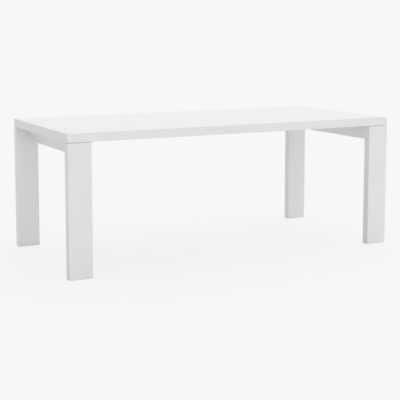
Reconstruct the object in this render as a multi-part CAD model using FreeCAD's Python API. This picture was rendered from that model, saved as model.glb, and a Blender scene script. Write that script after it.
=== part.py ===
import FreeCAD, Part
import math
import os

# Parsons dining table: a hollow-core top on two end frames of board legs and a set-back apron.
# X runs along the table's length, Y across its depth (front is -Y), Z is up.
# The origin is on the floor, under the middle of the top. Every length is in millimetres.

# ---------------------------------------------------------------- driving dimensions

# Overall
table_length = 1980.0
table_depth = 915.0
table_height = 750.0
arris_radius = 1.5              # eased edge of every lacquered board

# Top: a box of thin boards round a timber frame
slab_thickness = 46.0
shell_thickness = 9.0           # top skin and the four mitred edge boards
bottom_skin_thickness = 6.0
rail_width = 32.0
rib_width = 22.0
rib_count = 8

# End frames
leg_width = 127.0               # along X
leg_thickness = 45.0            # along Y
shadow_gap = 2.0                # dark line between the top and what carries it
apron_height = 78.0
apron_thickness = 48.0
apron_reveal = 1.0              # the apron's inner face stands back from the leg's inner edge

# Dowels between apron and leg
dowel_diameter = 10.0
dowel_depth_in_leg = 25.0
dowel_depth_in_apron = 35.0
dowel_count = 3                 # in each joint

# Steel plate in each corner, between the end frame and the top
plate_thickness = 4.0
plate_margin = 8.0              # back from the frame's outer edges
plate_wing = 60.0               # past the leg's inner edge, under the top
plate_reach = 120.0             # along the apron, from the leg's inner face
plate_corner_radius = 4.0
plate_housing_clearance = 0.4

# Countersunk wood screws that hold each plate down on its leg and apron
screw_diameter = 5.0
screw_head_diameter = 10.0
leg_screw_length = 60.0
apron_screw_length = 50.0
screw_edge_distance = 18.0      # from the edges of the board it goes into
screw_dowel_distance = 15.0     # past the end of the nearest dowel
screw_tip_diameter = 2.0

# M8 bolts that pull the top down on the plates
bolt_diameter = 8.0
bolt_length = 25.0
bolt_head_diameter = 14.0
bolt_head_height = 4.4
bolt_head_rounding = 0.6        # of the head's height, round its rim
bolt_socket = 5.0               # across the flats
bolt_socket_depth = 2.8
bolt_edge_distance = 30.0       # from the ends of the plate's wing
bolt_hole_clearance = 0.5       # on the radius, in the plate
washer_diameter = 16.0
washer_thickness = 1.6
washer_hole_clearance = 0.2     # on the radius
insert_diameter = 12.0
insert_length = 22.0
insert_hole_relief = 5.0        # drilled past the insert's end
block_margin = 44.0             # corner block beyond its outer bolts

# Steel channels let into the underside, open side down
channel_width = 30.0
channel_height = 20.0
channel_wall = 2.5
channel_spacing = 400.0         # between the two centre lines
channel_slot_clearance = 0.5
channel_screw_diameter = 4.0
channel_screw_length = 14.0
channel_screw_head_diameter = 7.6
channel_screw_head_height = 2.4

# Adjustable feet
foot_gap = 2.0                  # under the leg, with the foot screwed right in
pad_diameter = 32.0
pad_thickness = 3.0
pad_hub_diameter = 16.0
pad_hub_height = 8.5            # above the floor
pad_edge_radius = 1.0
ball_diameter = 10.0
ball_floor = 1.2                # material under the ball's socket
neck_diameter = 6.0
collar_across_flats = 13.0
collar_thickness = 5.0
collar_gap = 0.5                # over the pad's hub
stem_diameter = 8.0
stem_length = 35.0              # above the collar
stem_stop_gap = 0.2             # between the collar and the leg, screwed right in
foot_recess_clearance = 1.5     # round the pad
foot_insert_diameter = 12.0
foot_insert_length = 25.0
stem_bore_relief = 3.0          # above the stem's end

# Fits, all on the radius
thread_clearance = 0.05
glue_clearance = 0.05
ball_clearance = 0.1
stem_bore_clearance = 1.0

# ---------------------------------------------------------------- levels and faces

vector = FreeCAD.Vector
axis_x = vector(1, 0, 0)
axis_y = vector(0, 1, 0)
axis_z = vector(0, 0, 1)

left = -table_length / 2
front = -table_depth / 2
underside = table_height - slab_thickness
shell_underside = table_height - shell_thickness
core_bottom = underside + bottom_skin_thickness
frame_top = underside - shadow_gap
apron_bottom = frame_top - apron_height

leg_inner_edge = left + leg_width
leg_inner_face = front + leg_thickness
apron_inner = leg_inner_edge - apron_reveal
apron_outer = apron_inner - apron_thickness
apron_middle = (apron_inner + apron_outer) / 2

plate_bottom = underside - plate_thickness
plate_end = leg_inner_face + plate_reach

bolt_x = leg_inner_edge + plate_wing / 2
bolt_ys = [leg_inner_face + bolt_edge_distance, plate_end - bolt_edge_distance]
bolt_seat = plate_bottom - washer_thickness

core_left = left + shell_thickness
core_front = front + shell_thickness
block_left = core_left + rail_width
block_front = core_front + rail_width
block_right = bolt_x + block_margin
block_back = bolt_ys[-1] + block_margin
channel_end = -block_right

foot_x = left + leg_width / 2
foot_y = front + leg_thickness / 2
ball_centre = ball_floor + ball_diameter / 2 + ball_clearance
collar_bottom = pad_hub_height + collar_gap
collar_top = collar_bottom + collar_thickness
recess_top = collar_top + stem_stop_gap
foot_insert_top = recess_top + foot_insert_length
stem_top = collar_top + stem_length

corners = {
    "front_left": (False, False),
    "front_right": (True, False),
    "back_left": (False, True),
    "back_right": (True, True),
}


# ---------------------------------------------------------------- shape helpers

def block(x, y, z):
    """A box from three (low, high) pairs."""
    size = [pair[1] - pair[0] for pair in (x, y, z)]
    return Part.makeBox(*size, vector(x[0], y[0], z[0]))


def rod(x, y, z, diameter):
    """An upright cylinder from the (low, high) pair z."""
    return Part.makeCylinder(diameter / 2, z[1] - z[0], vector(x, y, z[0]))


def turned(x, y, profile):
    """A solid of revolution about the upright axis at (x, y), from (radius, height) points."""
    points = [vector(x + radius, y, height) for radius, height in profile]
    face = Part.Face(Part.makePolygon(points + points[:1]))
    return face.revolve(vector(x, y, 0), vector(0, 0, 1), 360)


def hexagon(x, y, z, across_flats):
    """An upright hexagonal prism from the (low, high) pair z."""
    radius = across_flats / math.sqrt(3)
    points = []
    for corner in range(6):
        angle = math.radians(60 * corner)
        points.append(vector(x + radius * math.cos(angle), y + radius * math.sin(angle), z[0]))
    face = Part.Face(Part.makePolygon(points + points[:1]))
    return face.extrude(vector(0, 0, z[1] - z[0]))


def frustum(first, second):
    """A six-sided solid between two rectangles, each given by its four corners in turn."""
    loops = [first, second]
    for corner in range(4):
        after = (corner + 1) % 4
        loops.append([first[corner], first[after], second[after], second[corner]])
    faces = [Part.Face(Part.makePolygon(loop + loop[:1])) for loop in loops]
    return Part.Solid(Part.makeShell(faces))


def eased(shape, radius, directions):
    """The shape with its straight edges along the given directions rounded."""
    nearly_parallel = 0.999
    edges = []
    for edge in shape.Edges:
        along = edge.tangentAt(edge.FirstParameter)
        if any(abs(along.dot(direction)) > nearly_parallel for direction in directions):
            edges.append(edge)
    return shape.makeFillet(radius, edges)


def mirrored(shape, flip_x, flip_y):
    """The front-left shape carried to another corner of the table."""
    if flip_x:
        shape = shape.mirror(vector(0, 0, 0), vector(1, 0, 0))
    if flip_y:
        shape = shape.mirror(vector(0, 0, 0), vector(0, 1, 0))
    return shape


def at_all_corners(shapes):
    """Copies of the front-left shapes in all four corners."""
    return [mirrored(shape, *flips) for flips in corners.values() for shape in shapes]


def save(name, shapes):
    """Writes one node: a single solid, or a group of separate ones."""
    group = shapes if isinstance(shapes, list) else [shapes]
    whole = group[0] if len(group) == 1 else Part.makeCompound(group)
    whole.exportStep("parts/" + name + ".step")


# ---------------------------------------------------------------- top

def plan_rectangle(inset, height):
    """The corners of the top's plan, drawn in from its edges, at one height."""
    x = left + inset
    y = front + inset
    return [vector(x, y, height), vector(-x, y, height), vector(-x, -y, height), vector(x, -y, height)]


def edge_board(corner):
    """The mitred board under one side of the top skin, counted round from the front."""
    after = (corner + 1) % 4
    outer_low = plan_rectangle(0, underside)
    outer_high = plan_rectangle(0, table_height)
    inner_low = plan_rectangle(shell_thickness, underside)
    inner_high = plan_rectangle(shell_thickness, shell_underside)
    outside = [outer_low[corner], outer_low[after], outer_high[after], outer_high[corner]]
    inside = [inner_low[corner], inner_low[after], inner_high[after], inner_high[corner]]
    return frustum(outside, inside)


def shell_boards():
    """Top skin and four edge boards, mitred where they meet and eased as one shell."""
    envelope = block((left, -left), (front, -front), (underside, table_height))
    envelope = eased(envelope, arris_radius, [axis_x, axis_y, axis_z])
    skin = frustum(plan_rectangle(0, table_height), plan_rectangle(shell_thickness, shell_underside))
    boards = {"top_skin": skin.common(envelope)}
    for corner, side in enumerate(["front", "right", "back", "left"]):
        boards["edge_" + side] = edge_board(corner).common(envelope)
    return boards


def rib_places():
    """Middle of each cross rib. The end ribs close the corner blocks in."""
    last = -block_right - rib_width / 2
    step = 2 * last / (rib_count - 1)
    return [-last + step * number for number in range(rib_count)]


def channel_places():
    """Centre line of each channel, across the table."""
    return [-channel_spacing / 2, channel_spacing / 2]


def channel_slots():
    """What the two channels take out of the bottom skin and the ribs."""
    half = channel_width / 2 + channel_slot_clearance
    end = channel_end + channel_slot_clearance
    height = (underside, underside + channel_height)
    return [block((-end, end), (y - half, y + half), height) for y in channel_places()]


def channel(y):
    """A steel channel, open side down, its web against the ribs."""
    length = (-channel_end, channel_end)
    half = channel_width / 2
    inside = half - channel_wall
    top = underside + channel_height
    outer = block(length, (y - half, y + half), (underside, top))
    return outer.cut(block(length, (y - inside, y + inside), (underside, top - channel_wall)))


def channel_screw(x, y, diameter, head_diameter):
    """A pan-head screw through the channel's web, up into a rib."""
    seat = underside + channel_height - channel_wall
    shank = rod(x, y, (seat, seat + channel_screw_length), diameter)
    return shank.fuse(rod(x, y, (seat - channel_screw_head_height, seat), head_diameter))


def channel_screws(clearance):
    """Every channel screw. With a clearance it is the hole that the screw needs."""
    diameter = channel_screw_diameter + 2 * clearance
    places = [(x, y) for x in rib_places() for y in channel_places()]
    return [channel_screw(x, y, diameter, channel_screw_head_diameter) for x, y in places]


def insert_holes():
    """Holes up through the bottom skin and into the corner blocks, for the threaded inserts."""
    diameter = insert_diameter + 2 * glue_clearance
    height = (underside, underside + insert_length + insert_hole_relief)
    return at_all_corners([rod(bolt_x, y, height, diameter) for y in bolt_ys])


def bottom_skin():
    """The board that closes the top from below, between the edge boards."""
    skin = block((core_left, -core_left), (core_front, -core_front), (underside, core_bottom))
    return skin.cut(channel_slots()).cut(insert_holes())


def rails():
    """The four timbers behind the edge boards."""
    height = (core_bottom, shell_underside)
    long_rail = block((core_left, -core_left), (core_front, block_front), height)
    short_rail = block((core_left, block_left), (block_front, -block_front), height)
    return {
        "rail_front": long_rail,
        "rail_back": mirrored(long_rail, False, True),
        "rail_left": short_rail,
        "rail_right": mirrored(short_rail, True, False),
    }


def cross_ribs():
    """The timbers across the top, cut out for the channels and their screws."""
    height = (core_bottom, shell_underside)
    half = rib_width / 2
    cuts = channel_slots() + channel_screws(glue_clearance)
    ribs = [block((x - half, x + half), (block_front, -block_front), height) for x in rib_places()]
    return [rib.cut(cuts) for rib in ribs]


def corner_block():
    """The hardwood block that takes the threaded inserts of one corner."""
    height = (core_bottom, shell_underside)
    shape = block((block_left, block_right), (block_front, block_back), height)
    return shape.cut(insert_holes())


# ---------------------------------------------------------------- end frames

def plate_outline(clearance):
    """The plate's plan, grown by a clearance: one arm on the leg, the other on the apron."""
    arm_left = left + plate_margin - clearance
    arm_right = leg_inner_edge - plate_margin + clearance
    arm_front = front + plate_margin - clearance
    wing_front = leg_inner_face - clearance
    wing_left = apron_outer + plate_margin - clearance
    wing_right = leg_inner_edge + plate_wing + clearance
    wing_back = plate_end + clearance
    arm_back = leg_inner_face + clearance
    return [
        (arm_left, arm_front),
        (arm_right, arm_front),
        (arm_right, wing_front),
        (wing_right, wing_front),
        (wing_right, wing_back),
        (wing_left, wing_back),
        (wing_left, arm_back),
        (arm_left, arm_back),
    ]


def plate_blank(clearance):
    """The plate without its holes. Grown by a clearance it is the housing cut for it."""
    points = [vector(x, y, plate_bottom) for x, y in plate_outline(clearance)]
    face = Part.Face(Part.makePolygon(points + points[:1]))
    return eased(face.extrude(vector(0, 0, plate_thickness)), plate_corner_radius, [axis_z])


leg_screw_places = [
    (left + plate_margin + screw_edge_distance, front + leg_thickness / 2),
    (apron_outer - screw_edge_distance, front + leg_thickness / 2),
]
apron_screw_places = [
    (apron_middle, leg_inner_face + dowel_depth_in_apron + screw_dowel_distance),
    (apron_middle, plate_end - screw_edge_distance),
]


def wood_screw(place, length, clearance):
    """A countersunk screw, its head flush with the plate. With a clearance it is its own hole."""
    radius = screw_diameter / 2 + clearance
    head = screw_head_diameter / 2 + clearance
    tip = screw_tip_diameter / 2
    shoulder = underside - (head - radius)
    point = underside - length
    taper = point + (radius - tip)
    shank = [(0, point), (tip, point), (radius, taper), (radius, shoulder)]
    return turned(*place, shank + [(head, underside), (0, underside)])


def wood_screws(clearance):
    """The screws of one corner."""
    screws = [wood_screw(place, leg_screw_length, clearance) for place in leg_screw_places]
    screws += [wood_screw(place, apron_screw_length, clearance) for place in apron_screw_places]
    return screws


def corner_plate():
    """The steel plate of one corner, with its bolt holes and countersinks."""
    hole_diameter = bolt_diameter + 2 * bolt_hole_clearance
    holes = [rod(bolt_x, y, (plate_bottom, underside), hole_diameter) for y in bolt_ys]
    return plate_blank(0).cut(holes + wood_screws(glue_clearance))


def dowels(clearance):
    """The dowels between one leg and its apron. With a clearance they are their own holes."""
    start = leg_inner_face - dowel_depth_in_leg
    length = dowel_depth_in_leg + dowel_depth_in_apron
    pitch = (plate_bottom - apron_bottom) / dowel_count
    heights = [apron_bottom + pitch * (number + 0.5) for number in range(dowel_count)]
    radius = dowel_diameter / 2 + clearance
    return [Part.makeCylinder(radius, length, vector(apron_middle, start, z), axis_y) for z in heights]


def foot_recess():
    """What the adjustable foot takes out of the leg: pad recess, insert hole and stem bore."""
    recess = rod(foot_x, foot_y, (0, recess_top), pad_diameter + 2 * foot_recess_clearance)
    seat = rod(foot_x, foot_y, (recess_top, foot_insert_top), foot_insert_diameter + 2 * glue_clearance)
    bore_height = (foot_insert_top, stem_top + stem_bore_relief)
    bore = rod(foot_x, foot_y, bore_height, stem_diameter + 2 * stem_bore_clearance)
    return [recess, seat, bore]


def joint_cuts():
    """What the plate, its screws and the dowels of one corner take out of leg and apron."""
    housing = plate_blank(plate_housing_clearance)
    return [housing] + wood_screws(glue_clearance) + dowels(glue_clearance)


def leg():
    """A board leg, eased on every edge."""
    board = block((left, leg_inner_edge), (front, leg_inner_face), (foot_gap, frame_top))
    board = eased(board, arris_radius, [axis_x, axis_y, axis_z])
    return board.cut(joint_cuts() + foot_recess())


def end_apron():
    """The board between the two legs of one end, cut for the plates of both."""
    length = (leg_inner_face, -leg_inner_face)
    board = block((apron_outer, apron_inner), length, (apron_bottom, frame_top))
    board = eased(board, arris_radius, [axis_y])
    front_cuts = joint_cuts()
    return board.cut(front_cuts + [mirrored(cut, False, True) for cut in front_cuts])


# ---------------------------------------------------------------- bolts that hold the top

def sleeve(x, y, height, outer_diameter, thread_diameter):
    """A threaded insert, its thread drawn as a plain bore."""
    bore = rod(x, y, height, thread_diameter + 2 * thread_clearance)
    return rod(x, y, height, outer_diameter).cut(bore)


def top_insert(y):
    """The insert in the corner block that a top bolt screws into."""
    height = (underside, underside + insert_length)
    return sleeve(bolt_x, y, height, insert_diameter, bolt_diameter)


def top_bolt(y):
    """A button-head bolt with a hexagon socket, pushed up through washer and plate."""
    low = bolt_seat - bolt_head_height
    head = rod(bolt_x, y, (low, bolt_seat), bolt_head_diameter)
    circles = [edge for edge in head.Edges if edge.Closed]
    rim = min(circles, key=lambda circle: circle.CenterOfMass.z)
    head = head.makeFillet(bolt_head_height * bolt_head_rounding, [rim])
    head = head.cut(hexagon(bolt_x, y, (low, low + bolt_socket_depth), bolt_socket))
    return head.fuse(rod(bolt_x, y, (bolt_seat, bolt_seat + bolt_length), bolt_diameter))


def washer(y):
    """The washer between a top bolt's head and the plate."""
    height = (bolt_seat, plate_bottom)
    hole = rod(bolt_x, y, height, bolt_diameter + 2 * washer_hole_clearance)
    return rod(bolt_x, y, height, washer_diameter).cut(hole)


# ---------------------------------------------------------------- adjustable feet

def foot_insert():
    """The insert in the leg's end that the stem screws into."""
    height = (recess_top, foot_insert_top)
    return sleeve(foot_x, foot_y, height, foot_insert_diameter, stem_diameter)


def foot_pad():
    """The round pad on the floor, with a socket that keeps the stem's ball."""
    disc = rod(foot_x, foot_y, (0, pad_thickness), pad_diameter)
    disc = disc.makeFillet(pad_edge_radius, [edge for edge in disc.Edges if edge.Closed])
    hub = rod(foot_x, foot_y, (ball_floor / 2, pad_hub_height), pad_hub_diameter)
    socket = Part.makeSphere(ball_diameter / 2 + ball_clearance, vector(foot_x, foot_y, ball_centre))
    return disc.fuse(hub).cut(socket)


def foot_stem():
    """The threaded stem: a ball in the pad, a hexagon collar for the spanner, and the thread."""
    ball = Part.makeSphere(ball_diameter / 2, vector(foot_x, foot_y, ball_centre))
    neck = rod(foot_x, foot_y, (ball_centre, collar_bottom), neck_diameter)
    collar = hexagon(foot_x, foot_y, (collar_bottom, collar_top), collar_across_flats)
    thread = rod(foot_x, foot_y, (collar_top, stem_top), stem_diameter)
    return ball.fuse([neck, collar, thread])


# ---------------------------------------------------------------- nodes

os.makedirs("parts", exist_ok=True)

for name, board in shell_boards().items():
    save(name, board)
save("bottom_skin", bottom_skin())
for name, rail in rails().items():
    save(name, rail)
for number, rib in enumerate(cross_ribs(), 1):
    save("cross_rib_" + str(number), rib)

for side, y in zip(["front", "back"], channel_places()):
    save("stiffener_" + side, channel(y).cut(channel_screws(glue_clearance)))
save("stiffener_screws", channel_screws(0))

apron = end_apron()
save("end_apron_left", apron)
save("end_apron_right", mirrored(apron, True, False))
save("apron_dowels", at_all_corners(dowels(0)))

corner_pieces = {
    "leg": leg(),
    "corner_block": corner_block(),
    "corner_plate": corner_plate(),
    "foot_pad": foot_pad(),
    "foot_stem": foot_stem(),
}
for corner, flips in corners.items():
    for piece, shape in corner_pieces.items():
        save(piece + "_" + corner, mirrored(shape, *flips))

save("plate_screws", at_all_corners(wood_screws(0)))
save("top_inserts", at_all_corners([top_insert(y) for y in bolt_ys]))
save("top_bolts", at_all_corners([top_bolt(y) for y in bolt_ys]))
save("top_bolt_washers", at_all_corners([washer(y) for y in bolt_ys]))
save("foot_inserts", at_all_corners([foot_insert()]))
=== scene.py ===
import math

import bpy
from mathutils import Matrix, Vector


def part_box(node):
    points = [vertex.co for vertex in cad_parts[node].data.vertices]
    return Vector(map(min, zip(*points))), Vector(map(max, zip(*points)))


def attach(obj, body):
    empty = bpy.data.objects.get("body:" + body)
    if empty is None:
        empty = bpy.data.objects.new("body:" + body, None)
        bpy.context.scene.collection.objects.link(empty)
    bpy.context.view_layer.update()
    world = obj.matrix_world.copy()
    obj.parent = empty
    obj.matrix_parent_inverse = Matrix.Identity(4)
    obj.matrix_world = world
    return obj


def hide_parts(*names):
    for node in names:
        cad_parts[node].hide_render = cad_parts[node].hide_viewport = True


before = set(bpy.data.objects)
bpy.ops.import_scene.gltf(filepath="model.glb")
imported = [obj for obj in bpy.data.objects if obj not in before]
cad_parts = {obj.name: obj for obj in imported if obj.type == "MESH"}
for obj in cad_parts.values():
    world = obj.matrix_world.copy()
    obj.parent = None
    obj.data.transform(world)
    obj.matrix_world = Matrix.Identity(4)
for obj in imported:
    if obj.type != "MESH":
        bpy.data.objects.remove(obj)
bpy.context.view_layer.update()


# ---- Timber core of the top
# Four rails and eight cross ribs of planed pine, glued into a ladder between the two skins.
# The grain of each stick runs along its length.

def start_material(name, metallic=0.0):
    """A new material, its node tree and its shader."""
    material = bpy.data.materials.new(name)
    material.use_nodes = True
    shader = material.node_tree.nodes["Principled BSDF"]
    shader.inputs["Metallic"].default_value = metallic
    return material, material.node_tree, shader


def add_node(tree, kind, inputs, **settings):
    """Adds a shader node. An input is a number, a colour or the socket that feeds it."""
    made = tree.nodes.new(kind)
    for setting, value in settings.items():
        setattr(made, setting, value)
    for place, value in inputs.items():
        if isinstance(value, bpy.types.NodeSocket):
            tree.links.new(value, made.inputs[place])
        else:
            made.inputs[place].default_value = value
    return made


def board_coordinates(tree, stretch=(1, 1, 1)):
    """Object coordinates in metres, multiplied along each axis. Under 1 draws a pattern out."""
    coordinates = add_node(tree, "ShaderNodeTexCoord", {})
    inputs = {"Vector": coordinates.outputs["Object"], "Scale": stretch}
    return add_node(tree, "ShaderNodeMapping", inputs).outputs["Vector"]


def noise(tree, place, per_metre, detail=2.0):
    """Noise with about that many patches to a metre."""
    inputs = {"Vector": place, "Scale": per_metre, "Detail": detail}
    return add_node(tree, "ShaderNodeTexNoise", inputs).outputs["Fac"]


def carried(tree, amount, to, over=(0.35, 0.65)):
    """Carries an amount over one range to another. Most noise lies between 0.35 and 0.65."""
    ranges = {"From Min": over[0], "From Max": over[1], "To Min": to[0], "To Max": to[1]}
    return add_node(tree, "ShaderNodeMapRange", {"Value": amount, **ranges}).outputs["Result"]


def mixed(tree, amount, first, second):
    """A mix of two colours: the first at 0, the second at 1."""
    inputs = {0: amount, 6: first, 7: second}
    return add_node(tree, "ShaderNodeMix", inputs, data_type="RGBA").outputs[2]


def bumped(tree, pattern, height, below=None):
    """A bump of that height in metres, on top of another one if it is given."""
    inputs = {"Height": pattern, "Distance": height, "Strength": 1.0}
    if below is not None:
        inputs["Normal"] = below
    return add_node(tree, "ShaderNodeBump", inputs).outputs["Normal"]


def feed_shader(tree, shader, colour, roughness, normal):
    """Links a shader to its colour, roughness and normal."""
    tree.links.new(colour, shader.inputs["Base Color"])
    tree.links.new(roughness, shader.inputs["Roughness"])
    tree.links.new(normal, shader.inputs["Normal"])


def planed_wood(name, pale, dark, rings_per_metre, along):
    """Planed wood with its grain along one axis: 0 is X, 1 is Y, 2 is Z."""
    grain_stretch, fibres_per_ring, fibre_shade = 0.06, 22, 0.6
    material, tree, shader = start_material(name)
    stretch = [1.0, 1.0, 1.0]
    stretch[along] = grain_stretch
    place = board_coordinates(tree, stretch)
    rings = noise(tree, place, rings_per_metre, detail=3.0)
    fibres = noise(tree, place, rings_per_metre * fibres_per_ring, detail=4.0)
    ringed = mixed(tree, carried(tree, rings, to=(0.0, 1.0), over=(0.4, 0.6)), pale, dark)
    fibre_dark = [value * fibre_shade for value in dark[:3]] + [1]
    colour = mixed(tree, carried(tree, fibres, to=(0.0, 0.4)), ringed, fibre_dark)
    roughness = carried(tree, fibres, to=(0.5, 0.72))
    feed_shader(tree, shader, colour, roughness, bumped(tree, fibres, height=0.0002))
    return material


def finish_node(name, material):
    """Gives a node its finish."""
    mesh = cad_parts[name].data
    mesh.materials.clear()
    mesh.materials.append(material)


pine_pale = (0.66, 0.47, 0.27, 1)
pine_dark = (0.47, 0.28, 0.12, 1)
pine_rings = 45
pine_along_x = planed_wood("pine_long_grain", pine_pale, pine_dark, pine_rings, along=0)
pine_along_y = planed_wood("pine_cross_grain", pine_pale, pine_dark, pine_rings, along=1)
rib_names = [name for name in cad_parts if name.startswith("cross_rib_")]
for name in ["rail_front", "rail_back"]:
    finish_node(name, pine_along_x)
for name in ["rail_left", "rail_right"] + rib_names:
    finish_node(name, pine_along_y)


# ---- Corner blocks
# A beech block in each corner of the core, hard enough for the threaded inserts.
# Glued to the rails, grain across the table.

corner_names = ["front_left", "front_right", "back_left", "back_right"]
beech_pale = (0.60, 0.40, 0.25, 1)
beech_dark = (0.46, 0.28, 0.15, 1)
block_rings = 90
beech_across = planed_wood("beech_block", beech_pale, beech_dark, block_rings, along=1)
for corner in corner_names:
    finish_node("corner_block_" + corner, beech_across)


# ---- Top skin and edge boards
# Fibre board, mitred all round and sprayed with white gloss lacquer after assembly, so no joint shows.
# The spray leaves a fine orange peel, and the arrises are rubbed a little by handling.

lacquer_white = (0.859, 0.857, 0.872, 1)
lacquer_cloud = (0.845, 0.843, 0.857, 1)
lacquer_rubbed = (0.76, 0.755, 0.74, 1)
lacquer_roughness = (0.07, 0.12)
lacquer_specular = 0.31
rubbed_width = 0.004


def sums(tree, operation, first, second=0.0):
    """One step of arithmetic."""
    return add_node(tree, "ShaderNodeMath", {0: first, 1: second}, operation=operation).outputs[0]


def box_depths(tree, place, low, high):
    """How deep a point lies under each pair of faces of a box, in metres."""
    parts = add_node(tree, "ShaderNodeSeparateXYZ", {"Vector": place})
    depths = []
    for axis in range(3):
        middle = (low[axis] + high[axis]) / 2
        half = (high[axis] - low[axis]) / 2
        offset = sums(tree, "SUBTRACT", parts.outputs[axis], middle)
        depths.append(sums(tree, "SUBTRACT", half, sums(tree, "ABSOLUTE", offset)))
    return depths


def near_arris(tree, place, low, high, width):
    """1 on a box's arrises, falling to 0 within a width of them."""
    depths = box_depths(tree, place, low, high)
    smaller = sums(tree, "MINIMUM", depths[0], depths[1])
    larger = sums(tree, "MAXIMUM", depths[0], depths[1])
    to_arris = sums(tree, "MAXIMUM", smaller, sums(tree, "MINIMUM", larger, depths[2]))
    return carried(tree, to_arris, to=(1.0, 0.0), over=(0.0, width))


def lacquer_colour(tree, place, low, high):
    """White with faint clouds, and duller patches along the arrises."""
    clouds = carried(tree, noise(tree, place, per_metre=5), to=(0.0, 1.0))
    white = mixed(tree, clouds, lacquer_white, lacquer_cloud)
    dull_spots = noise(tree, place, per_metre=38, detail=5.0)
    patches = carried(tree, dull_spots, to=(0.0, 0.6), over=(0.42, 0.62))
    rubbed = sums(tree, "MULTIPLY", near_arris(tree, place, low, high, rubbed_width), patches)
    return mixed(tree, rubbed, white, lacquer_rubbed)


def spray_lacquer(tree, shader, place, colour):
    """A gloss that varies a little, orange peel, and the slow waves of a sprayed panel."""
    handled = noise(tree, place, per_metre=14, detail=4.0)
    waves = bumped(tree, noise(tree, place, per_metre=9), height=0.00004)
    peel = bumped(tree, noise(tree, place, per_metre=380), height=0.000002, below=waves)
    feed_shader(tree, shader, colour, carried(tree, handled, to=lacquer_roughness), peel)
    shader.inputs["Specular IOR Level"].default_value = lacquer_specular


def lacquer(name, low, high):
    """White gloss lacquer on a board that fills that box."""
    material, tree, shader = start_material(name)
    place = board_coordinates(tree)
    spray_lacquer(tree, shader, place, lacquer_colour(tree, place, low, high))
    return material


left_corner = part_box("edge_left")[0]
front_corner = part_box("edge_front")[0]
slab_low = [left_corner.x, front_corner.y, front_corner.z]
slab_high = [-left_corner.x, -front_corner.y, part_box("top_skin")[1].z]
slab_lacquer = lacquer("slab_lacquer", slab_low, slab_high)
for name in ["top_skin", "edge_front", "edge_back", "edge_left", "edge_right"]:
    finish_node(name, slab_lacquer)


# ---- Bottom skin
# A thinner fibre board let in flush with the edge boards, with only a coat of matt white primer.
# The roller leaves a coarse stipple, and the fibres show through.

primer_white = (0.74, 0.74, 0.73, 1)
primer_grey = (0.70, 0.70, 0.685, 1)
primed_fibre = (0.60, 0.56, 0.50, 1)


def rolled_primer(name):
    """Patchy matt primer with a stipple, and fibres drawn out along the board."""
    material, tree, shader = start_material(name)
    place = board_coordinates(tree)
    fibres = noise(tree, board_coordinates(tree, stretch=(0.3, 1, 1)), per_metre=260, detail=5.0)
    showing = carried(tree, fibres, to=(0.0, 0.35), over=(0.5, 0.75))
    patches = carried(tree, noise(tree, place, per_metre=7, detail=3.0), to=(0.0, 1.0))
    colour = mixed(tree, showing, mixed(tree, patches, primer_white, primer_grey), primed_fibre)
    stipple = bumped(tree, noise(tree, place, per_metre=420), height=0.00012)
    feed_shader(tree, shader, colour, carried(tree, fibres, to=(0.6, 0.8)), stipple)
    return material


finish_node("bottom_skin", rolled_primer("rolled_primer"))


# ---- Steel channels
# Two galvanised channels let into grooves in the underside, their webs up against the ribs.
# They keep the top from sagging between the end frames.

zinc_dark = (0.50, 0.52, 0.54, 1)
zinc_pale = (0.66, 0.68, 0.69, 1)
rolling_mark = (0.40, 0.41, 0.43, 1)
crystals_per_metre = 130.0


def galvanised(name):
    """A zinc coat with pale and dark crystals, and fine rolling marks."""
    material, tree, shader = start_material(name, metallic=1.0)
    crystal_inputs = {"Vector": board_coordinates(tree), "Scale": crystals_per_metre}
    crystals = add_node(tree, "ShaderNodeTexVoronoi", crystal_inputs).outputs["Color"]
    grey = add_node(tree, "ShaderNodeSeparateColor", {"Color": crystals}).outputs[0]
    marks = noise(tree, board_coordinates(tree, stretch=(0.02, 1, 1)), per_metre=1500)
    coat = mixed(tree, grey, zinc_dark, zinc_pale)
    colour = mixed(tree, carried(tree, marks, to=(0.0, 0.25)), coat, rolling_mark)
    roughness = carried(tree, grey, to=(0.34, 0.52), over=(0.0, 1.0))
    feed_shader(tree, shader, colour, roughness, bumped(tree, marks, height=0.00001))
    return material


galvanised_steel = galvanised("galvanised_steel")
for name in ["stiffener_front", "stiffener_back"]:
    finish_node(name, galvanised_steel)


# ---- Channel screws
# Zinc-plated pan-head wood screws with a cross recess, up through each channel into every rib.
# Driven from below, so the heads sit inside the channel.

height_tolerance = 0.00001


def plated(name, pale, dark, roughness):
    """Bright plating with faint stains and fine scratches, its roughness between two bounds."""
    material, tree, shader = start_material(name, metallic=1.0)
    stains = noise(tree, board_coordinates(tree), per_metre=320, detail=4.0)
    scratches = noise(tree, board_coordinates(tree, stretch=(1, 1, 0.08)), per_metre=2600)
    colour = mixed(tree, carried(tree, stains, to=(0.0, 1.0)), pale, dark)
    scratched = bumped(tree, scratches, height=0.000008)
    feed_shader(tree, shader, colour, carried(tree, scratches, to=roughness), scratched)
    return material


def select_alone(piece):
    """Makes a piece active and the only one selected."""
    bpy.ops.object.select_all(action="DESELECT")
    bpy.context.view_layer.objects.active = piece
    piece.select_set(True)


def mark_faces(piece, chosen):
    """Goes into edit mode with the faces selected that a test on centre and normal picks."""
    bpy.ops.object.mode_set(mode="EDIT")
    bpy.ops.mesh.select_mode(type="FACE")
    bpy.ops.mesh.select_all(action="DESELECT")
    bpy.ops.object.mode_set(mode="OBJECT")
    for face in piece.data.polygons:
        face.select = chosen(face.center, face.normal)
    bpy.ops.object.mode_set(mode="EDIT")


def new_cylinder(radius, low, high, sides, x=0.0, y=0.0, turn=0.0):
    """An upright cylinder or prism, alone in the selection, its place in its mesh."""
    bpy.ops.object.select_all(action="DESELECT")
    middle = (x, y, (low + high) / 2)
    bpy.ops.mesh.primitive_cylinder_add(
        vertices=sides, radius=radius, depth=high - low, location=middle, rotation=(0, 0, turn))
    bpy.ops.object.transform_apply()
    return bpy.context.object


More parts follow.
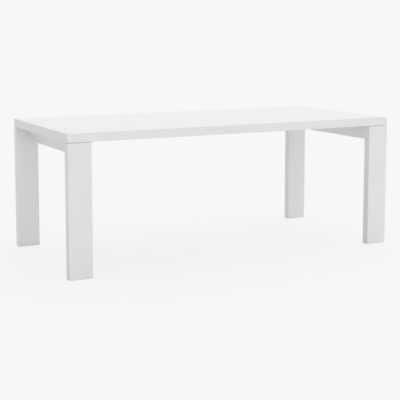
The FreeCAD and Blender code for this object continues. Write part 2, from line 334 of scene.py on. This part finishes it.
def soften_rim(piece, height, width, segments):
    """Rounds the rim round the flat face at that height."""
    mark_faces(piece, lambda centre, normal:
               abs(normal.z) > 0.9 and abs(centre.z - height) < height_tolerance)
    bpy.ops.mesh.region_to_loop()
    bpy.ops.mesh.bevel(offset=width, segments=segments, affect="EDGES")
    bpy.ops.object.mode_set(mode="OBJECT")


def cut_with(piece, cutter, operation="DIFFERENCE"):
    """Cuts a piece with another, which is used up."""
    select_alone(piece)
    cut = piece.modifiers.new("cut", "BOOLEAN")
    cut.operation = operation
    cut.object = cutter
    cut.solver = "EXACT"
    bpy.ops.object.modifier_apply(modifier="cut")
    bpy.data.objects.remove(cutter, do_unlink=True)


def new_thread(radius, depth, pitch, low, turns, steps=20):
    """A right-hand thread wound upwards from low: a ridge of four sides, closed at both ends."""
    bpy.ops.object.select_all(action="DESELECT")
    bpy.ops.mesh.primitive_plane_add(size=radius)
    piece = bpy.context.object
    bpy.ops.object.mode_set(mode="EDIT")
    bpy.ops.mesh.delete(type="ONLY_FACE")
    bpy.ops.object.mode_set(mode="OBJECT")
    root = radius - depth
    half_root, half_crest = 0.44, 0.08   # shares of the pitch
    flanks = [(root, 0.5 - half_root), (radius, 0.5 - half_crest),
              (root, 0.5 + half_root), (radius, 0.5 + half_crest)]
    for vertex, (out, up) in zip(piece.data.vertices, flanks):
        vertex.co = (out, 0, low + up * pitch)
    winding = piece.modifiers.new("winding", "SCREW")
    winding.screw_offset = pitch
    winding.iterations = turns
    winding.steps = steps
    winding.render_steps = steps
    bpy.ops.object.modifier_apply(modifier="winding")
    bpy.ops.object.mode_set(mode="EDIT")
    bpy.ops.mesh.select_all(action="SELECT")
    bpy.ops.mesh.fill_holes(sides=4)
    bpy.ops.mesh.normals_make_consistent(inside=False)
    bpy.ops.object.mode_set(mode="OBJECT")
    return piece


def joined(pieces, name):
    """Joins pieces into one with that name."""
    bpy.ops.object.select_all(action="DESELECT")
    for piece in pieces:
        piece.select_set(True)
    bpy.context.view_layer.objects.active = pieces[0]
    bpy.ops.object.join()
    pieces[0].name = name
    pieces[0].data.name = name
    return pieces[0]


def repeated(piece, places, name):
    """Copies of a piece carried to the places, joined into one."""
    copies = []
    for place in places:
        copy = piece.copy()
        copy.data = piece.data.copy()
        copy.data.transform(Matrix.Translation(place))
        bpy.context.scene.collection.objects.link(copy)
        copies.append(copy)
    bpy.data.objects.remove(piece, do_unlink=True)
    return joined(copies, name)


def finish_piece(piece, material):
    """Gives a modelled piece its finish and smooth rounds."""
    sharp_from = math.radians(35)
    piece.data.materials.clear()
    piece.data.materials.append(material)
    select_alone(piece)
    bpy.ops.object.shade_smooth_by_angle(angle=sharp_from)


def pointed_shank(radius, low, high, point):
    """A plain core whose upper end tapers to a point."""
    blunt_share = 0.15
    shank = new_cylinder(radius, low, high, sides=20)
    mark_faces(shank, lambda centre, normal: normal.z > 0.9)
    bpy.ops.mesh.extrude_region_move(TRANSFORM_OT_translate={"value": (0, 0, point)})
    bpy.ops.transform.resize(value=(blunt_share, blunt_share, 1), center_override=(0, 0, high))
    bpy.ops.object.mode_set(mode="OBJECT")
    return shank


def cross_cutter(width, length, low, high):
    """Two crossing blades that narrow upwards, for a cross recess."""
    top_share = 0.5
    blades = []
    for turn in (0, math.pi / 2):
        bpy.ops.object.select_all(action="DESELECT")
        middle = (0, 0, (low + high) / 2)
        bpy.ops.mesh.primitive_cube_add(size=1, location=middle, rotation=(0, 0, turn))
        blade = bpy.context.object
        blade.scale = (length, width, high - low)
        bpy.ops.object.transform_apply()
        mark_faces(blade, lambda centre, normal: normal.z > 0.9)
        bpy.ops.transform.resize(value=(top_share, top_share, 1), center_override=(0, 0, high))
        bpy.ops.object.mode_set(mode="OBJECT")
        blades.append(blade)
    cut_with(blades[0], blades[1], "UNION")
    return blades[0]


def channel_screw():
    """A pan-head screw, pointing up, its head's seat at height 0."""
    head_radius, head_height, head_rounding = 0.0038, 0.0024, 0.0014
    cross_width, cross_length, cross_top = 0.0009, 0.0044, -0.0007
    shank_radius, shank_top, point = 0.0014, 0.0112, 0.0028
    crest_radius, ridge_height, pitch, ridge_low = 0.002, 0.00065, 0.0014, 0.0003
    overshoot, overlap = 0.0005, 0.0002
    head = new_cylinder(head_radius, -head_height, 0, sides=40)
    soften_rim(head, -head_height, head_rounding, segments=6)
    cross = cross_cutter(cross_width, cross_length, -head_height - overshoot, cross_top)
    cut_with(head, cross)
    shank = pointed_shank(shank_radius, -overlap, shank_top, point)
    thread = new_thread(crest_radius, ridge_height, pitch, ridge_low, turns=7, steps=16)
    return joined([head, shank, thread], "channel_screw")


channel_wall = 0.0025
channel_low, channel_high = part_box("stiffener_front")
channel_middle = (channel_low.y + channel_high.y) / 2
screw_seat = channel_high.z - channel_wall
screw_places = []
for rib in rib_names:
    rib_low, rib_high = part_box(rib)
    for y in (channel_middle, -channel_middle):
        screw_places.append(((rib_low.x + rib_high.x) / 2, y, screw_seat))
channel_screws = repeated(channel_screw(), screw_places, "channel_screws")
yellow_zinc = (0.66, 0.64, 0.55, 1)
yellow_zinc_stain = (0.52, 0.50, 0.42, 1)
screw_plating = plated("screw_plating", yellow_zinc, yellow_zinc_stain, roughness=(0.24, 0.42))
finish_piece(channel_screws, screw_plating)
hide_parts("stiffener_screws")
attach(channel_screws, "table")


# ---- Legs
# Four fibre-board legs, flush with the corners of the top, lacquered all round and underneath.
# The hole for the adjustable foot is drilled after spraying and shows the raw board.

raw_board = (0.42, 0.30, 0.19, 1)
raw_board_dark = (0.30, 0.21, 0.13, 1)
raw_radius = 0.0177                      # a little wider and deeper than the hole,
raw_depth = 0.06                         # so that its walls and its end count as inside


def inside_hole(tree, place, low, high):
    """1 on the walls of the upright hole in the middle of a leg's foot, 0 elsewhere."""
    parts = add_node(tree, "ShaderNodeSeparateXYZ", {"Vector": place})
    squares = []
    for axis in range(2):
        offset = sums(tree, "SUBTRACT", parts.outputs[axis], (low[axis] + high[axis]) / 2)
        squares.append(sums(tree, "MULTIPLY", offset, offset))
    from_axis = sums(tree, "SQRT", sums(tree, "ADD", squares[0], squares[1]))
    near_axis = sums(tree, "LESS_THAN", from_axis, raw_radius)
    low_down = sums(tree, "LESS_THAN", parts.outputs[2], low[2] + raw_depth)
    return sums(tree, "MULTIPLY", near_axis, low_down)


def leg_lacquer(name, low, high):
    """The lacquer of a leg, with raw board inside the hole in its foot."""
    material, tree, shader = start_material(name)
    place = board_coordinates(tree)
    grains = carried(tree, noise(tree, place, per_metre=900, detail=4.0), to=(0.0, 1.0))
    raw = mixed(tree, grains, raw_board, raw_board_dark)
    sprayed = lacquer_colour(tree, place, low, high)
    colour = mixed(tree, inside_hole(tree, place, low, high), sprayed, raw)
    spray_lacquer(tree, shader, place, colour)
    return material


for corner in corner_names:
    leg = "leg_" + corner
    finish_node(leg, leg_lacquer(leg + "_lacquer", *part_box(leg)))


# ---- End aprons
# A board between the two legs of each end, well in from the outside and a hair back from their inner
# edge. Sprayed with the legs. Its ends are glued to them, so only its long arrises are rubbed.

past_ends = Vector((0, 0.1, 0))          # carries the ends' arrises out of the board
for side in ["left", "right"]:
    apron = "end_apron_" + side
    apron_low, apron_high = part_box(apron)
    apron_lacquer = lacquer(apron + "_lacquer", apron_low - past_ends, apron_high + past_ends)
    finish_node(apron, apron_lacquer)


# ---- Dowels
# Three beech dowels glue each leg to its apron, grain along the dowel.
# They are hidden once the frame is glued.

dowel_rings = 140
beech_dowels = planed_wood("beech_dowels", beech_pale, beech_dark, dowel_rings, along=1)
finish_node("apron_dowels", beech_dowels)


# ---- Corner plates and their screws
# A galvanised plate let into each corner of the end frame stands proud of it and carries the top.
# Countersunk screws hold it down, their heads flush with its upper face.

for corner in corner_names:
    finish_node("corner_plate_" + corner, galvanised_steel)
finish_node("plate_screws", screw_plating)


# ---- Threaded inserts
# Die-cast zinc sleeves screwed into the corner blocks and into the feet of the legs.
# Dull, with a granular skin.

cast_dark = (0.42, 0.41, 0.39, 1)
cast_pale = (0.56, 0.55, 0.52, 1)


def die_cast(name):
    """Dull cast metal with a granular skin."""
    material, tree, shader = start_material(name, metallic=1.0)
    grains = noise(tree, board_coordinates(tree), per_metre=1800, detail=3.0)
    colour = mixed(tree, grains, cast_dark, cast_pale)
    roughness = carried(tree, grains, to=(0.42, 0.6))
    feed_shader(tree, shader, colour, roughness, bumped(tree, grains, height=0.00003))
    return material


zinc_cast = die_cast("die_cast_zinc")
for name in ["top_inserts", "foot_inserts"]:
    finish_node(name, zinc_cast)


# ---- Top bolts
# Black button-head bolts with a hexagon socket come up through the plates into the inserts.
# Their threads are rolled, and the black oxide is unevenly oiled.

oxide_black = (0.022, 0.022, 0.025, 1)
oxide_oiled = (0.05, 0.048, 0.045, 1)
thread_radius = 0.00395
thread_depth = 0.00068
thread_pitch = 0.00125
thread_sunk = 0.00009                    # how deep the thread's root lies in the core
thread_core = thread_radius - thread_depth + thread_sunk


def black_oxide(name):
    """A black skin with oily patches and a fine grain."""
    material, tree, shader = start_material(name, metallic=0.9)
    place = board_coordinates(tree)
    oil = noise(tree, place, per_metre=260, detail=4.0)
    colour = mixed(tree, carried(tree, oil, to=(0.0, 1.0)), oxide_black, oxide_oiled)
    grain = bumped(tree, noise(tree, place, per_metre=2400), height=0.000006)
    feed_shader(tree, shader, colour, carried(tree, oil, to=(0.30, 0.46)), grain)
    return material


def top_bolt():
    """A button-head bolt, pointing up, the seat of its head at height 0."""
    head_radius, head_height, head_rounding = 0.007, 0.0044, 0.0027
    seat_easing, tip_easing = 0.0002, 0.0006
    socket_flats, socket_depth = 0.005, 0.0028
    length, thread_low = 0.025, 0.0004
    overshoot, overlap = 0.001, 0.0005
    head = new_cylinder(head_radius, -head_height, 0, sides=64)
    soften_rim(head, -head_height, head_rounding, segments=8)
    soften_rim(head, 0, seat_easing, segments=2)
    socket_radius = socket_flats / math.sqrt(3)
    socket_low = -head_height - overshoot
    cut_with(head, new_cylinder(socket_radius, socket_low, socket_depth - head_height, sides=6))
    core = new_cylinder(thread_core, -overlap, length, sides=24)
    soften_rim(core, length, tip_easing, segments=1)
    thread = new_thread(thread_radius, thread_depth, thread_pitch, thread_low, turns=19)
    return joined([head, core, thread], "top_bolt")


washer_low, washer_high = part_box("top_bolt_washers")
washer_radius = 0.008
bolt_spacing = 0.060
bolt_x = washer_high.x - washer_radius
outer_bolt_y = washer_high.y - washer_radius
bolt_places = []
for x in (-bolt_x, bolt_x):
    for far in (outer_bolt_y, outer_bolt_y - bolt_spacing):
        bolt_places += [(x, -far, washer_low.z), (x, far, washer_low.z)]
top_bolts = repeated(top_bolt(), bolt_places, "socket_bolts")
finish_piece(top_bolts, black_oxide("black_oxide"))
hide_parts("top_bolts")
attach(top_bolts, "table")


# ---- Washers
# Stamped steel washers under the bolt heads, rounded on the punched side and bright plated.
# Each lies flat between bolt head and plate.

washer_thickness = washer_high.z - washer_low.z
washer_hole_radius = 0.0042
washer_rounding = 0.0004
punch_overshoot = 0.001
bright_zinc_pale = (0.68, 0.69, 0.70, 1)
bright_zinc_stain = (0.56, 0.57, 0.59, 1)
washer = new_cylinder(washer_radius, 0, washer_thickness, sides=64)
soften_rim(washer, 0, washer_rounding, segments=3)
punch_top = washer_thickness + punch_overshoot
cut_with(washer, new_cylinder(washer_hole_radius, -punch_overshoot, punch_top, sides=48))
washers = repeated(washer, bolt_places, "stamped_washers")
bright_zinc = plated("bright_zinc", bright_zinc_pale, bright_zinc_stain, roughness=(0.22, 0.38))
finish_piece(washers, bright_zinc)
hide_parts("top_bolt_washers")
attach(washers, "table")


# ---- Foot pads
# Moulded black nylon pads under the legs: a disc stiffened by ribs, and a hub that snaps over the
# stem's ball. The mould leaves a fine spark-eroded grain.

nylon_black = (0.038, 0.038, 0.041, 1)
nylon_scuffed = (0.060, 0.060, 0.062, 1)
disc_radius = 0.016
disc_height = 0.003
hub_radius = 0.008


def moulded_nylon(name):
    """Nearly black nylon with paler scuffs and the grain of its mould."""
    material, tree, shader = start_material(name)
    place = board_coordinates(tree)
    scuffs = noise(tree, place, per_metre=240, detail=5.0)
    colour = mixed(tree, carried(tree, scuffs, to=(0.0, 1.0)), nylon_black, nylon_scuffed)
    grain = bumped(tree, noise(tree, place, per_metre=3200), height=0.00003)
    feed_shader(tree, shader, colour, carried(tree, scuffs, to=(0.46, 0.64)), grain)
    return material


def pad_body(x, y):
    """The pad's disc, with a hub on it and a mouth in the hub for the ball."""
    disc_rounding, hub_height = 0.001, 0.0085
    mouth_radius, mouth_depth = 0.0046, 0.0022
    pad = new_cylinder(disc_radius, 0, disc_height, sides=72, x=x, y=y)
    soften_rim(pad, 0, disc_rounding, segments=4)
    soften_rim(pad, disc_height, disc_rounding, segments=4)
    mark_faces(pad, lambda centre, normal:
               normal.z > 0.99 and centre.z > disc_height - height_tolerance)
    bpy.ops.mesh.inset(thickness=disc_radius - disc_rounding - hub_radius, depth=0)
    hub_rise = (0, 0, hub_height - disc_height)
    bpy.ops.mesh.extrude_region_move(TRANSFORM_OT_translate={"value": hub_rise})
    bpy.ops.mesh.inset(thickness=hub_radius - mouth_radius, depth=0)
    bpy.ops.mesh.extrude_region_move(TRANSFORM_OT_translate={"value": (0, 0, -mouth_depth)})
    bpy.ops.object.mode_set(mode="OBJECT")
    return pad


def pad_rib(x, y, angle):
    """One rib from hub to rim, lower at the rim, turned to that angle."""
    width, high, rim_share = 0.0011, 0.005, 0.35
    in_hub, short_of_rim, in_disc = 0.0005, 0.001, 0.0006
    start, end = hub_radius - in_hub, disc_radius - short_of_rim
    low = disc_height - in_disc
    middle = (start + end) / 2
    bpy.ops.object.select_all(action="DESELECT")
    bpy.ops.mesh.primitive_cube_add(size=1, location=(middle, 0, (low + high) / 2))
    rib = bpy.context.object
    rib.scale = (end - start, width, high - low)
    bpy.ops.object.transform_apply()
    mark_faces(rib, lambda centre, normal: normal.x > 0.9)
    bpy.ops.transform.resize(value=(1, 1, rim_share), center_override=(middle, 0, low))
    bpy.ops.object.mode_set(mode="OBJECT")
    rib.data.transform(Matrix.Translation((x, y, 0)) @ Matrix.Rotation(angle, 4, "Z"))
    return rib


def foot_pad(x, y, name):
    """A ribbed pad on the floor at that place."""
    rib_count = 12
    pad = pad_body(x, y)
    ribs = [pad_rib(x, y, math.tau * number / rib_count) for number in range(rib_count)]
    return joined([pad] + ribs, name)


nylon = moulded_nylon("moulded_nylon")
for corner in corner_names:
    node = "foot_pad_" + corner
    pad_low, pad_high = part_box(node)
    pad_x = (pad_low.x + pad_high.x) / 2
    pad_y = (pad_low.y + pad_high.y) / 2
    pad = foot_pad(pad_x, pad_y, "ribbed_pad_" + corner)
    finish_piece(pad, nylon)
    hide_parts(node)
    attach(pad, corner + "_pad")


# ---- Foot stems
# Plated steel stems, turned from hexagon bar: a ball in the pad, a chamfered collar for the spanner,
# and a rolled thread that winds in the leg's insert.

def new_ball(radius, height, segments, rings):
    """A ball on the upright axis, alone in the selection, its place in its mesh."""
    bpy.ops.object.select_all(action="DESELECT")
    bpy.ops.mesh.primitive_uv_sphere_add(
        segments=segments, ring_count=rings, radius=radius, location=(0, 0, height))
    bpy.ops.object.transform_apply()
    return bpy.context.object


def foot_stem(x, y, name):
    """A stem that stands at that place, its height over the floor in its mesh."""
    ball_radius, ball_height, neck_radius = 0.005, 0.0063, 0.003
    collar_low, collar_high, collar_flats = 0.009, 0.014, 0.013
    chamfer_radius, stem_top, tip_easing = 0.0077, 0.049, 0.0008
    relief_radius, relief_height, relief_overlap = 0.0039, 0.0004, 0.0005
    thread_low, overlap = 0.0002, 0.001
    ball = new_ball(ball_radius, ball_height, segments=32, rings=16)
    neck = new_cylinder(neck_radius, ball_height, collar_low + overlap, sides=32)
    collar_radius = collar_flats / math.sqrt(3)
    collar = new_cylinder(collar_radius, collar_low, collar_high, sides=6, turn=math.radians(30))
    collar_middle = (collar_low + collar_high) / 2
    cut_with(collar, new_ball(chamfer_radius, collar_middle, segments=64, rings=48), "INTERSECT")
    core = new_cylinder(thread_core, collar_high - overlap, stem_top, sides=32)
    soften_rim(core, stem_top, tip_easing, segments=1)
    relief_low, relief_high = collar_high - relief_overlap, collar_high + relief_height
    relief = new_cylinder(relief_radius, relief_low, relief_high, sides=40)
    thread = new_thread(
        thread_radius, thread_depth, thread_pitch, collar_high + thread_low, turns=27, steps=24)
    stem = joined([ball, neck, collar, core, relief, thread], name)
    stem.data.transform(Matrix.Translation((x, y, 0)))
    return stem


for corner in corner_names:
    node = "foot_stem_" + corner
    stem_low, stem_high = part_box(node)
    stem_x = (stem_low.x + stem_high.x) / 2
    stem_y = (stem_low.y + stem_high.y) / 2
    stem = foot_stem(stem_x, stem_y, "threaded_stem_" + corner)
    finish_piece(stem, bright_zinc)
    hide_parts(node)
    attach(stem, corner + "_stem")


# ---- Floor and room
# A pale floor that runs into a backdrop of the same tone, in a room with an even light of its own.
# Seen from below, the floor is clear, so the underside of the table shows.

backdrop_tone = 0.93
room_strength = 0.32
floor_width = 400
floor_grey = 0.93
floor_roughness = 0.9
floor_seen_grey = 0.15
floor_light = 0.935                      # what falls on the open floor from lamps and room
floor_glow = backdrop_tone - floor_seen_grey * floor_light


def seen_or_reflected(tree):
    """1 for what the camera sees directly or in a reflection."""
    path = add_node(tree, "ShaderNodeLightPath", {})
    shiny = sums(tree, "MAXIMUM", path.outputs["Is Glossy Ray"], path.outputs["Is Transmission Ray"])
    return sums(tree, "MAXIMUM", path.outputs["Is Camera Ray"], shiny)


def seen_from_below(tree):
    """1 where the camera meets the floor's underside."""
    underside = add_node(tree, "ShaderNodeNewGeometry", {}).outputs["Backfacing"]
    direct = add_node(tree, "ShaderNodeLightPath", {}).outputs["Is Camera Ray"]
    return sums(tree, "MULTIPLY", underside, direct)


def floor_material():
    """Grey for the light it throws back; seen, the backdrop's tone with the table's shadow on it."""
    material, tree, shader = start_material("floor")
    shader.inputs["Base Color"].default_value = (floor_grey, floor_grey, floor_grey, 1)
    shader.inputs["Roughness"].default_value = floor_roughness
    shader.inputs["Specular IOR Level"].default_value = 0.0
    seen_colour = (floor_seen_grey, floor_seen_grey, floor_seen_grey, 1)
    shaded = add_node(tree, "ShaderNodeBsdfDiffuse", {"Color": seen_colour})
    glow = add_node(tree, "ShaderNodeEmission", {"Color": (1, 1, 1, 1), "Strength": floor_glow})
    seen = add_node(tree, "ShaderNodeAddShader", {0: shaded.outputs[0], 1: glow.outputs[0]})
    clear = add_node(tree, "ShaderNodeBsdfTransparent", {})
    either = {0: seen_or_reflected(tree), 1: shader.outputs[0], 2: seen.outputs[0]}
    above = add_node(tree, "ShaderNodeMixShader", either)
    one_way = {0: seen_from_below(tree), 1: above.outputs[0], 2: clear.outputs[0]}
    surface = add_node(tree, "ShaderNodeMixShader", one_way)
    tree.links.new(surface.outputs[0], tree.nodes["Material Output"].inputs["Surface"])
    return material


bpy.ops.object.select_all(action="DESELECT")
bpy.ops.mesh.primitive_plane_add(size=floor_width)
floor = bpy.context.object
floor.name = "floor"
floor.data.materials.append(floor_material())

world = bpy.data.worlds.new("room")
bpy.context.scene.world = world
world.use_nodes = True
sky = world.node_tree
room = sky.nodes["Background"]
room.inputs["Color"].default_value = (1, 1, 1, 1)
room.inputs["Strength"].default_value = room_strength
backdrop = add_node(sky, "ShaderNodeBackground", {"Color": (1, 1, 1, 1), "Strength": backdrop_tone})
sky_inputs = {0: seen_or_reflected(sky), 1: room.outputs[0], 2: backdrop.outputs[0]}
sky_mix = add_node(sky, "ShaderNodeMixShader", sky_inputs)
sky.links.new(sky_mix.outputs[0], sky.nodes["World Output"].inputs["Surface"])


# ---- Lamps
# Three big soft lamps a long way off: one from the front right, one low in front, one high behind.
# With the room's own light they show a level surface at about its own tone.

def soft_lamp(name, strength, azimuth, elevation, spread):
    """A lamp that gloss doesn't mirror. Angles in degrees: azimuth 0 shines along +Y, 90 along -X."""
    turn = (math.radians(90 - elevation), 0, math.radians(azimuth))
    bpy.ops.object.light_add(type="SUN", rotation=turn)
    lamp = bpy.context.object
    lamp.name = name
    lamp.data.energy = strength
    lamp.data.angle = math.radians(spread)
    lamp.visible_glossy = False


soft_lamp("right_lamp", strength=0.91, azimuth=42, elevation=42, spread=120)
soft_lamp("front_lamp", strength=0.69, azimuth=-20, elevation=8, spread=60)
soft_lamp("rear_lamp", strength=1.36, azimuth=150, elevation=60, spread=90)


# ---- Camera
# A long lens in front and to the left, 1.28 m above the floor and tilted down a little.
# The downward shift takes up part of the tilt, so that the uprights converge less.

view_from = (-2.621, -5.062, 1.282)
view_turn = 0.4757                       # radians to the right of +Y
view_tilt = 0.1156                       # radians below level
view_shift = -0.15
view_depth = 1000
focal_pixels = 980.5
frame_pixels = 400
view_rotation = (math.pi / 2 - view_tilt, 0, -view_turn)
bpy.ops.object.camera_add(location=view_from, rotation=view_rotation)
camera = bpy.context.object
camera.data.sensor_width = 36
camera.data.lens = focal_pixels / frame_pixels * camera.data.sensor_width
camera.data.shift_y = view_shift
camera.data.clip_end = view_depth
bpy.context.scene.camera = camera
bpy.context.scene.view_settings.view_transform = "Standard"
